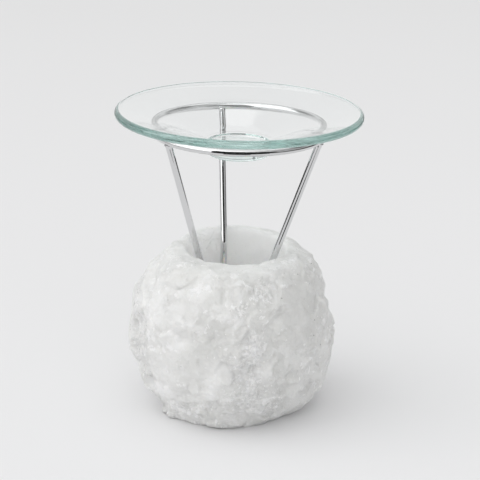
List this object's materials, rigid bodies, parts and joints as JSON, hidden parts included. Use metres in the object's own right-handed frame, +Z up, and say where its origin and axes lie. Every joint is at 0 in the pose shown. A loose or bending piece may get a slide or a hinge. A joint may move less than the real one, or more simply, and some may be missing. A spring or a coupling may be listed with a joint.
{
  "type": "wax melt warmer",
  "caption": "Tealight wax melt warmer: a rough-hewn white stone block with a drilled candle well, a bent-wire stand dropped into it, and a shallow wide-rimmed clear glass dish on top.",
  "frame": {"origin": "on the table, under the middle of the dish", "axes": "+Z up along the axis of the dish, ring and well; -Y is the side the picture is taken from, +X its right"},
  "size_m": [0.13, 0.13, 0.1655],
  "materials": {
    "rock": "rough-hewn translucent white crystalline rock",
    "pad": "frosted soft rubber",
    "chrome": "mirror-polished chrome plate",
    "glass": "clear float glass with a faint blue-green tint, fire-polished edge",
    "foil": "thin drawn aluminium",
    "wax": "white paraffin wax, slightly translucent",
    "wick": "waxed cotton braid",
    "tin": "pressed tin plate"
  },
  "bodies": {
    "stone": {"stone_base": "rock", "foot_pads": "pad"},
    "stand": {"support_ring": "chrome", "left_leg": "chrome", "right_leg": "chrome", "rear_leg": "chrome"},
    "dish": {"glass_dish": "glass"},
    "tealight": {"tealight_cup": "foil", "tealight_wax": "wax", "wick": "wick", "wick_tab": "tin"}
  },
  "joints": [
    {"name": "stand_lift", "type": "slide", "parent": "stone", "child": "stand", "axis": [0, 0, 1], "range_m": [0, 0.045]},
    {"name": "dish_lift", "type": "slide", "parent": "stand", "child": "dish", "axis": [0, 0, 1], "range_m": [0, 0.03]},
    {"name": "tealight_lift", "type": "slide", "parent": "stone", "child": "tealight", "axis": [0, 0, 1], "range_m": [0, 0.045]}
  ]
}
